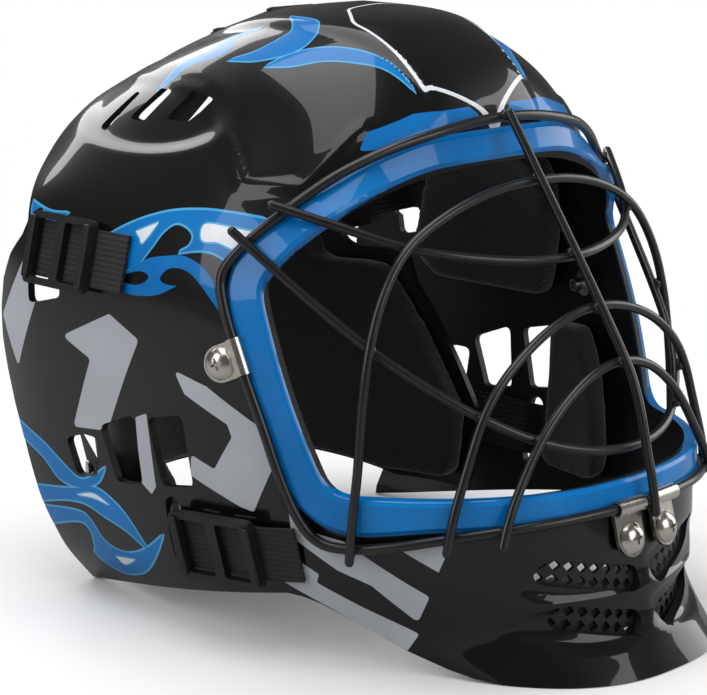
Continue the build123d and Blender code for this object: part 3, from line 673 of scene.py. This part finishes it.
# %% [markdown]
# ## Paint
# Flame licks and angular bars are sprayed on both sides, with blue panels and a pinstriped shield on
# the brow. Each shape is drawn flat, like a stencil, and cut out of a very thin layer that follows
# the outside, so that it bends with the shell and stops at the vents.

# %% Stencils
def closed_line(points, sharp=(), steps=6):
    """A smooth closed outline through the points, with a corner at each numbered point."""
    spots = [Vector(p) for p in points]
    count = len(spots)
    made = []
    for i, here in enumerate(spots):
        ahead = spots[(i + 1) % count]
        leave = ahead - here if i in sharp else (ahead - spots[i - 1]) / 2
        arrive = ahead - here if (i + 1) % count in sharp else (spots[(i + 2) % count] - here) / 2
        for step in range(steps):
            s = step / steps
            made.append(here * (2 * s ** 3 - 3 * s ** 2 + 1) + leave * (s ** 3 - 2 * s ** 2 + s)
                        + ahead * (3 * s ** 2 - 2 * s ** 3) + arrive * (s ** 3 - s ** 2))
    return made


def grown(outline, by):
    """An outline moved outward by a distance, or inward if it is negative."""
    ahead = outline[1:] + outline[:1]
    turn = sum(a.x * b.y - b.x * a.y for a, b in zip(outline, ahead))
    made = []
    for i, here in enumerate(outline):
        along = ahead[i] - outline[i - 1]
        made.append(here + Vector((along.y, -along.x)).normalized() * (by if turn > 0 else -by))
    return made


def mirrored(outline):
    return [Vector((-p.x, p.y)) for p in outline]


paint_layer = closed_shell("paint_layer", outer_grid + outer_normals * 0.05 * MM,
                           outer_grid - outer_normals * 0.6 * MM)
cut(paint_layer, [main_cutter, window_cutter])


def browways(u, v, end):
    return place(u, (-60, 0)[end], v)


def spray(name, outlines, lift, finish, way=sideways):
    """Cut each outline out of the paint layer, raise it by lift millimetres and colour it."""
    body = bmesh.new()
    for turn, outline in enumerate(outlines):
        piece = bpy.data.objects.new("piece", paint_layer.data.copy())
        scene.collection.objects.link(piece)
        stencil = cutter("stencil", [prism(outline, way)])
        cut(piece, [stencil], "INTERSECT")
        for vertex in piece.data.vertices:
            near, normal, _, _ = outside.find_nearest(vertex.co)
            if (vertex.co - near).dot(normal) > 0:
                vertex.co = near + normal * (lift + 0.003 * turn) * MM
        body.from_mesh(piece.data)
        for spent in (stencil, piece):
            bpy.data.objects.remove(spent)
    mesh = bpy.data.meshes.new(name)
    for face in body.faces:
        face.smooth = True
        face.material_index = 0
    body.to_mesh(mesh)
    body.free()
    made = bpy.data.objects.new(name, mesh)
    scene.collection.objects.link(made)
    mesh.materials.append(finish)
    mesh.set_sharp_from_angle(angle=radians(35))
    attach(made, "mask")
    print(name, len(mesh.polygons), "faces")


# %% Flames on the sides
upper_lick = closed_line([(-6, 178), (8, 179), (23, 179), (39, 177), (53, 173), (65, 168), (76, 162),
                          (74, 159), (65, 163), (59, 161), (59, 157), (66, 154), (76, 151), (62, 151),
                          (53, 154), (46, 162), (41, 169), (35, 173), (28, 172), (24, 169), (25, 165),
                          (30, 162), (20, 164), (12, 164), (2, 161)], (0, 6, 7, 12, 21, 24))
lower_lick = closed_line([(9, 153), (16, 158), (26, 161), (36, 160), (48, 157), (61, 149), (51, 152),
                          (45, 151), (47, 148), (54, 146), (66, 147), (76, 149), (88, 150), (78, 146),
                          (66, 143), (52, 142), (39, 144), (28, 149), (35, 149), (38, 151), (34, 155),
                          (27, 156), (20, 154), (13, 149), (5, 142)], (0, 5, 12, 17, 24))
rim_lick = closed_line([(4, 146), (-1, 134), (-7, 122), (-14, 108), (-20, 94), (-25, 80), (-29, 80),
                        (-22, 100), (-14, 117), (-6, 132)], (0, 5, 6))
rear_upper_lick = closed_line([(133, 170), (116, 168), (102, 169), (115, 164), (128, 164)], (0, 2))
rear_licks = [
    closed_line([(137, 73), (117, 67), (103, 60), (93, 56), (83, 59), (74, 65), (80, 57), (93, 52),
                 (107, 53), (119, 61), (137, 67)], (0, 5, 10)),
    closed_line([(129, 45), (100, 50), (83, 54), (70, 50), (61, 43), (53, 31), (65, 38), (79, 42),
                 (90, 45), (104, 44), (128, 38)], (0, 5, 10)),
    closed_line([(126, 36), (99, 40), (90, 38), (84, 29), (75, 26), (64, 28), (52, 34), (41, 42),
                 (50, 30), (63, 19), (81, 13), (92, 16), (96, 20), (93, 24), (92, 32), (99, 35),
                 (123, 28)], (0, 7, 12, 16))]
licks = [upper_lick, lower_lick, rim_lick, rear_upper_lick] + rear_licks
spray("flame_edges", [grown(lick, 0.9) for lick in licks], 0.05, edge_blue)
spray("flame_paint", licks, 0.08, blue_gloss)
lights = [closed_line([(20, 174), (8, 174), (-5, 173), (3, 166), (11, 168), (19, 168)], (2, 3)),
          closed_line([(57, 167), (45, 172), (49, 166), (52, 163), (54, 165)], (0, 1)),
          closed_line([(80, 22), (66, 24), (76, 19)], (0, 1)),
          closed_line([(96, 48), (84, 51), (74, 48), (84, 49)], (0, 2))]
spray("flame_light_edges", [grown(light, 0.7) for light in lights], 0.1, edge_blue)
spray("flame_lights", lights, 0.12, white_gloss)

# %% Bars on the sides
bars = [rounded([(148, 119), (127, 150), (117, 147), (119, 129), (134, 98)], [2, 2, 4, 6, 2]),
        rounded([(99, 118), (68, 132), (49, 124), (69, 85), (76, 81), (94, 79), (80, 111)], 2),
        rounded([(28, 115), (10, 111), (-18, 97), (-22, 85), (-10, 62), (-4, 63), (21, 72), (20, 81),
                 (8, 77), (-2, 92), (0, 97), (22, 106)], 1.6),
        rounded([(52, 91), (45, 94), (42, 63), (45, 59), (51, 63)], 1),
        rounded([(-26, 69), (-31, 58), (-47, 55), (-75, 34), (-69, 22), (-55, 37), (-43, 42), (-26, 54)], 2),
        rounded([(-27, 44), (-12, 36), (-37, 23), (-56, 12), (-64, 9), (-69, 17), (-50, 26), (-33, 35),
                 (-35, 39)], 1.4),
        [Vector((-64, 56)), Vector((-84, 58)), Vector((-79, 45))]]
spray("side_bars", bars, 0.08, grey_gloss)

# %% Brow panels, shield and crown flames
brow = rounded([(-8, 213), (-13, 217), (-40, 216), (-61, 210), (-66, 203), (-40, 205)], [1, 1, 8, 3, 1, 4])
spray("brow_panels", [brow, mirrored(brow)], 0.08, blue_gloss, browways)
shield_corners = [(0, -38), (31, -26), (32, 14), (18, 31), (-18, 31), (-32, 14), (-31, -26)]
shield_radii = [0.5, 2, 10, 8, 8, 10, 2]
panel_corners = [(x * 0.962, y * 0.962 - 0.1) for x, y in shield_corners]
spray("shield_stripe", [rounded(shield_corners, shield_radii)], 0.1, white_gloss, downwards)
spray("shield_panel", [rounded(panel_corners, shield_radii)], 0.14, black_gloss, downwards)
crown_licks = [closed_line([(-49, 14), (-40, 0), (-35, -12), (-34, -24), (-39, -12), (-46, -3), (-54, 8),
                            (-62, 18), (-66, 30), (-58, 24)], (3, 8)),
               closed_line([(-36, 46), (-45, 36), (-59, 41), (-66, 52), (-64, 36), (-57, 24), (-48, 22),
                            (-38, 28)], (0, 3)),
               closed_line([(-76, 86), (-68, 72), (-62, 58), (-52, 62), (-44, 54), (-50, 68), (-60, 70),
                            (-66, 80)], (0, 4))]
crown_licks += [mirrored(lick) for lick in crown_licks]
spray("crown_flame_edges", [grown(lick, 0.8) for lick in crown_licks], 0.05, edge_blue, downwards)
spray("crown_flame_paint", crown_licks, 0.08, blue_gloss, downwards)
bpy.data.objects.remove(paint_layer)

# %% [markdown]
# ## The band round the port
# A raised, chamfered band frames the face port. Its inner edge is the cut itself, so we read the
# longest loop of edges between lacquer and cut wall, even it out, and sweep a small section
# along it, standing on the surface at every step.

# %% Sweep the band
def port_loop(target):
    """The port's edge on the outside, as even points round it."""
    mesh = target.data
    uses = {}
    for face in mesh.polygons:
        for key in face.edge_keys:
            uses.setdefault(key, []).append(face.material_index)
    chain = {}
    for (a, b), kinds in uses.items():
        if sorted(kinds) == [0, 1]:
            chain.setdefault(a, []).append(b)
            chain.setdefault(b, []).append(a)
    loops = []
    while chain:
        start = next(iter(chain))
        loop = [start]
        here = start
        while chain.get(here):
            ahead = chain[here].pop()
            if here in chain.get(ahead, []):
                chain[ahead].remove(here)
            loop.append(ahead)
            here = ahead
        for key in [k for k, v in chain.items() if not v]:
            del chain[key]
        loops.append(np.array([mesh.vertices[i].co for i in loop]))
    whole = [l for l in loops if l[:, 1].max() < zero_y + 0.012 and len(l) > 60 and np.ptp(l[:, 2]) > 0.1]
    return max(whole, key=len)


def even_loop(points, count, passes):
    """Resample a closed line evenly and smooth it lightly."""
    closed = np.vstack([points, points[:1]])
    run = np.concatenate([[0], np.cumsum(np.linalg.norm(np.diff(closed, axis=0), axis=1) + 1e-9)])
    even = np.linspace(0, run[-1], count + 1)[:-1]
    made = np.stack([np.interp(even, run, closed[:, i]) for i in range(3)], axis=1)
    for _ in range(passes):
        made = (np.roll(made, 1, 0) + 2 * made + np.roll(made, -1, 0)) / 4
    return made


band_steps = 420
band_height = 1.7
port_centre = np.array(place(0, -60, 135))
edge = even_loop(port_loop(shell), band_steps, 4)


def band_width(point):
    """Narrower along the chin, wider up the cheeks."""
    return 12.5 + 4.0 * float(smooth_share(abs(point[0]) / MM, 78, 104))


def sweep_band():
    verts = []
    ahead = np.roll(edge, -1, 0) - np.roll(edge, 1, 0)
    widths = np.array([band_width(p) for p in edge])
    for _ in range(30):
        widths = (np.roll(widths, 1) + 2 * widths + np.roll(widths, -1)) / 4
    ways = []
    for point, along in zip(edge, ahead):
        normal = outside.find_nearest(Vector(point))[1]
        way = normal.cross(Vector(along)).normalized()
        ways.append(np.array(way if way.dot(Vector(point - port_centre)) > 0 else -way))
    ways = np.array(ways)
    for _ in range(10):
        ways = (np.roll(ways, 1, 0) + 2 * ways + np.roll(ways, -1, 0)) / 4
    for point, way, wide in zip(edge, ways, widths):
        section = [(-0.25, -3.7), (-0.25, 0.3), (0.2, 0.9), (1.6, band_height), (wide - 2.6, band_height),
                   (wide - 1.2, 1.1), (wide, 0.1), (wide + 0.1, -0.5)]
        for out, height in section:
            spot = Vector(point + way * out * MM)
            near, normal, _, _ = outside.find_nearest(spot)
            base = near if out > 0.5 else spot
            verts.append(base + normal * height * MM)
    return verts, len(section)


band_verts, section_points = sweep_band()
band_faces = []
for i in range(band_steps):
    for j in range(section_points - 1):
        a, b = i * section_points + j, (i + 1) % band_steps * section_points + j
        band_faces.append([a, b, b + 1, a + 1])
band = new_object("port_band", band_verts, band_faces, blue_gloss)
for face in band.data.polygons:
    face.use_smooth = True
band.data.set_sharp_from_angle(angle=radians(22))
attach(band, "mask")
print("band points", len(band_verts))

# %% [markdown]
# ## The wire cage
# Seven round wires, each bent along its own route and welded where they cross. A Geometry Nodes
# tree sweeps a circle along the route and rounds both ends. The routes are the ones the CAD wires
# follow, so a NURBS line of order 3 lands on them.

# %% A tree that turns a route into a wire
def socket_in(tree, name, kind, value):
    made = tree.interface.new_socket(name, in_out="INPUT", socket_type=kind)
    made.default_value = value
    return made.identifier


def wire_tree():
    """Curve in, round-ended wire out."""
    tree = bpy.data.node_groups.new("round_wire", "GeometryNodeTree")
    tree.interface.new_socket("Geometry", in_out="INPUT", socket_type="NodeSocketGeometry")
    tree.interface.new_socket("Geometry", in_out="OUTPUT", socket_type="NodeSocketGeometry")
    names = {"Radius": socket_in(tree, "Radius", "NodeSocketFloat", 0.002),
             "Sides": socket_in(tree, "Sides", "NodeSocketInt", 20),
             "Step": socket_in(tree, "Step", "NodeSocketFloat", 0.002)}
    nodes = tree.nodes
    link = tree.links.new
    inside = nodes.new("NodeGroupInput")
    outside_end = nodes.new("NodeGroupOutput")
    steps = nodes.new("GeometryNodeResampleCurve")
    steps.mode = "LENGTH"
    link(inside.outputs["Geometry"], steps.inputs["Curve"])
    link(inside.outputs["Step"], steps.inputs["Length"])
    circle = nodes.new("GeometryNodeCurvePrimitiveCircle")
    link(inside.outputs["Radius"], circle.inputs["Radius"])
    link(inside.outputs["Sides"], circle.inputs["Resolution"])
    tube = nodes.new("GeometryNodeCurveToMesh")
    link(steps.outputs["Curve"], tube.inputs["Curve"])
    link(circle.outputs["Curve"], tube.inputs["Profile Curve"])
    ends = nodes.new("GeometryNodeCurveEndpointSelection")
    ball = nodes.new("GeometryNodeMeshUVSphere")
    link(inside.outputs["Radius"], ball.inputs["Radius"])
    link(inside.outputs["Sides"], ball.inputs["Segments"])
    ball.inputs["Rings"].default_value = 10
    tips = nodes.new("GeometryNodeInstanceOnPoints")
    link(steps.outputs["Curve"], tips.inputs["Points"])
    link(ends.outputs[0], tips.inputs["Selection"])
    link(ball.outputs["Mesh"], tips.inputs["Instance"])
    joined = nodes.new("GeometryNodeJoinGeometry")
    link(tube.outputs["Mesh"], joined.inputs[0])
    link(tips.outputs["Instances"], joined.inputs[0])
    real = nodes.new("GeometryNodeRealizeInstances")
    link(joined.outputs[0], real.inputs[0])
    smooth = nodes.new("GeometryNodeSetShadeSmooth")
    link(real.outputs[0], smooth.inputs[0])
    coat = nodes.new("GeometryNodeSetMaterial")
    coat.inputs["Material"].default_value = wire_black
    link(smooth.outputs[0], coat.inputs[0])
    link(coat.outputs[0], outside_end.inputs[0])
    return tree, names


round_wire, wire_inputs = wire_tree()


def route_curve(name, points, closed=False):
    """A NURBS line of order 3 through the neighbourhood of given points."""
    curve = bpy.data.curves.new(name, "CURVE")
    curve.dimensions = "3D"
    spline = curve.splines.new("NURBS")
    spline.points.add(len(points) - 1)
    for slot, point in zip(spline.points, points):
        slot.co = (*place(*point), 1.0)
    spline.order_u = 3
    spline.use_endpoint_u = not closed
    spline.use_cyclic_u = closed
    spline.resolution_u = 24
    made = bpy.data.objects.new(name, curve)
    scene.collection.objects.link(made)
    return made


def baked(source, name):
    """The evaluated object as a plain mesh object; the source is removed."""
    bpy.context.view_layer.update()
    graph = bpy.context.evaluated_depsgraph_get()
    mesh = bpy.data.meshes.new_from_object(source.evaluated_get(graph))
    mesh.name = name
    made = bpy.data.objects.new(name, mesh)
    scene.collection.objects.link(made)
    bpy.data.objects.remove(source)
    return made


def both_halves(half):
    """A route from the wearer's right to the left, mirrored about the middle."""
    return half + [(-x, y, z) for x, y, z in reversed(half[:-1])]


# %% Routes of the wires
rim_half = [(0, -41, 212.5), (-20, -40.5, 211.5), (-38, -38.8, 208.8), (-54, -34.8, 205.5),
            (-67, -29.5, 200.7), (-78, -24.3, 195.5), (-88, -19, 188.8), (-98, -14.3, 181.5),
            (-105, -9, 175.3), (-112, -1, 165.5), (-116, 4, 156.5), (-117.4, 0.2, 145),
            (-117.6, -4, 135.5), (-117.2, -12.4, 116.5), (-115.6, -20.3, 98.5),
            (-113.3, -25.7, 81), (-109, -32.5, 62),
            (-104.5, -40, 53), (-98.8, -52.5, 52.7), (-90.5, -69.7, 56), (-79.5, -85, 60),
            (-65.3, -99.7, 63), (-44.5, -111.8, 65), (-22, -118.5, 66), (0, -120.2, 66.2)]
rim_route = rim_half + [(-x, y, z) for x, y, z in reversed(rim_half[1:-1])]
hoops = {
    "cage_centre_bar": [(0, -44.5, 214.3), (0, -107, 124.5), (0, -115, 105), (0, -119, 87),
                        (0, -122.6, 74), (0, -124.4, 62)],
    "cage_upper_hoop": both_halves([
        (-102.4, -54.2, 49), (-101.9, -55, 65), (-99.5, -56, 85), (-97, -55.5, 110), (-92.7, -55, 132),
        (-85, -54.5, 152), (-71.4, -54.5, 169.5), (-50, -57, 180.5), (-25, -58.3, 186.8), (0, -58.6, 188.2)]),
    "cage_middle_hoop": both_halves([
        (-82.6, -87.4, 55.5), (-81, -88, 66), (-76.5, -88.2, 78), (-71, -88.5, 91), (-65, -89, 105.5),
        (-56, -90, 118), (-40, -91.3, 130.5), (-20, -91.2, 138.7), (0, -90.9, 141.2)]),
    "cage_lower_hoop": both_halves([
        (-67.8, -102.9, 58), (-64.3, -102.6, 68), (-56, -102, 81), (-46.3, -102.2, 95),
        (-34, -103, 107.5), (-18, -103.8, 117.5), (0, -104, 121)]),
    "cage_upper_cross_bar": both_halves([
        (-103.8, -13.5, 185), (-87, -32.8, 177), (-70, -50.9, 168.5), (-50, -66, 163.8),
        (-25, -75.5, 160.3), (0, -78.6, 158.9)]),
    "cage_lower_cross_bar": both_halves([
        (-115.6, -3.4, 175), (-104, -26, 154), (-90, -51.3, 132), (-77, -70, 117.5), (-62.6, -85.6, 105.3),
        (-45, -98.4, 95), (-25, -108.5, 88.8), (0, -113.4, 86.6)]),
}
wire_lines = {}


def make_wire(node, points, radius, closed=False):
    """One wire of the cage, which stands for its CAD node."""
    source = route_curve(node + "_route", points, closed)
    bpy.context.view_layer.update()
    line = bpy.data.meshes.new_from_object(source.evaluated_get(bpy.context.evaluated_depsgraph_get()))
    wire_lines[node] = np.array([v.co for v in line.vertices])
    bpy.data.meshes.remove(line)
    step = source.modifiers.new("wire", "NODES")
    step.node_group = round_wire
    step[wire_inputs["Radius"]] = radius
    made = baked(source, node + "_wire")
    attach(made, "mask")
    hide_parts(node)


rim_wire_radius = 2.1 * MM
bar_wire_radius = 1.9 * MM
make_wire("cage_rim", rim_route, rim_wire_radius, closed=True)
for node, points in hoops.items():
    make_wire(node, points, bar_wire_radius)
print("wires", {name: len(line) for name, line in wire_lines.items()})


# %% Beads of weld where wires cross
weld_reach = 4.8 * MM                         # wires nearer than this are welded
weld_apart = 15 * MM                          # and one crossing gets one bead


def weld_places():
    """Middles of the places where two wires pass within a wire's width of each other."""
    names = list(wire_lines)
    places = []
    for i, first in enumerate(names):
        for second in names[i + 1:]:
            a, b = wire_lines[first], wire_lines[second]
            gaps = np.linalg.norm(a[:, None] - b[None], axis=2)
            while gaps.min() < weld_reach:
                m, n = np.unravel_index(gaps.argmin(), gaps.shape)
                places.append((a[m] + b[n]) / 2)
                gaps[np.linalg.norm(a - a[m], axis=1) < weld_apart] = 1
    return places


def bead_tree():
    """Points in, small flattened beads out."""
    tree = bpy.data.node_groups.new("weld_beads", "GeometryNodeTree")
    tree.interface.new_socket("Geometry", in_out="INPUT", socket_type="NodeSocketGeometry")
    tree.interface.new_socket("Geometry", in_out="OUTPUT", socket_type="NodeSocketGeometry")
    nodes = tree.nodes
    link = tree.links.new
    bead = nodes.new("GeometryNodeMeshIcoSphere")
    bead.inputs["Radius"].default_value = 2.6 * MM
    bead.inputs["Subdivisions"].default_value = 3
    spread = nodes.new("GeometryNodeInstanceOnPoints")
    link(nodes.new("NodeGroupInput").outputs[0], spread.inputs["Points"])
    link(bead.outputs["Mesh"], spread.inputs["Instance"])
    spread.inputs["Scale"].default_value = (1.0, 0.85, 1.0)
    real = nodes.new("GeometryNodeRealizeInstances")
    link(spread.outputs[0], real.inputs[0])
    smooth = nodes.new("GeometryNodeSetShadeSmooth")
    link(real.outputs[0], smooth.inputs[0])
    coat = nodes.new("GeometryNodeSetMaterial")
    coat.inputs["Material"].default_value = wire_black
    link(smooth.outputs[0], coat.inputs[0])
    link(coat.outputs[0], nodes.new("NodeGroupOutput").inputs[0])
    return tree


weld_points = new_object("weld_points", weld_places(), [])
weld_points.modifiers.new("beads", "NODES").node_group = bead_tree()
beads = baked(weld_points, "weld_beads")
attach(beads, "mask")
print("weld beads", len(beads.data.vertices))

# %% [markdown]
# ## Clips, screws and the rest of the CAD metal
# The folded clips, domed screws, nuts and rivets have their real shape already, so they keep it
# and only take their finish, and so do the moulded plate, grilles and buckles.

# %% Dress the CAD pieces that stay
def dress(names, material):
    for name in names:
        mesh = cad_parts[name].data
        mesh.materials.clear()
        mesh.materials.append(material)


dress(["side_clips", "chin_clips", "clip_screws", "clip_nuts", "plate_rivets"], bright_nickel)
dress(["back_plate", "chin_grilles"], black_moulding)
buckles = ["upper_buckle_right", "upper_buckle_left", "lower_buckle_right", "lower_buckle_left", "top_buckle"]
dress(buckles, black_moulding)

# %% [markdown]
# ## Straps and foam
# Each strap runs from its buckle on the mask to its rivet on the back plate; here it is a plain copy of
# its CAD node in its webbing finish, not tied to either body. The foam pads start from their plain CAD
# solids and get the soft edges of covered foam.

# %% Straps copied from the CAD
def soft_copy(node, finish):
    """A merged copy of a CAD node, ready to be bent or softened."""
    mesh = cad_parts[node].data.copy()
    body = bmesh.new()
    body.from_mesh(mesh)
    bmesh.ops.remove_doubles(body, verts=body.verts, dist=1e-6)
    body.to_mesh(mesh)
    body.free()
    mesh.materials.clear()
    mesh.materials.append(finish)
    made = bpy.data.objects.new(node + "_soft", mesh)
    scene.collection.objects.link(made)
    return made


def strap(node, finish, start, end):
    """A strap copied from its CAD node in its finish; start, on the mask, and end, on the back plate, are not
    used.
    """
    made = soft_copy(node, finish)
    place(*start)
    place(*end)
    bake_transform(made)
    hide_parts(node)


for side, name in ((-1, "right"), (1, "left")):
    strap("upper_strap_" + name, side_webbing, (side * 108.5, 127.6, 149), (side * 72.7, 145.8, 142))
    strap("lower_strap_" + name, side_webbing, (side * 110.4, 36.6, 45), (side * 98.9, 101, 48.5))
strap("top_strap", top_webbing, (0, 135.6, 218), (0, 170.2, 188))


# %% Foam pads
def pad(node, body):
    """Covered foam: remeshed finely, its edges relaxed into a soft roll."""
    start = soft_copy(node, black_lining)
    fine = start.modifiers.new("fine", "REMESH")
    fine.mode = "VOXEL"
    fine.voxel_size = 1.8 * MM
    fine.use_smooth_shade = True
    relax = start.modifiers.new("relax", "SMOOTH")
    relax.factor = 0.5
    relax.iterations = 22
    made = baked(start, node + "_cushion")
    if not made.data.materials:
        made.data.materials.append(black_lining)
    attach(made, body)
    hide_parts(node)
    print(made.name, len(made.data.polygons), "faces")


for node in ("side_pad_right", "side_pad_left", "jaw_pad_right", "jaw_pad_left", "forehead_pad",
             "crown_pad", "chin_pad"):
    pad(node, "mask")
pad("back_pad", "back_plate")

# %% Clean up and finish
for tool in (main_cutter, window_cutter):
    bpy.data.objects.remove(tool)
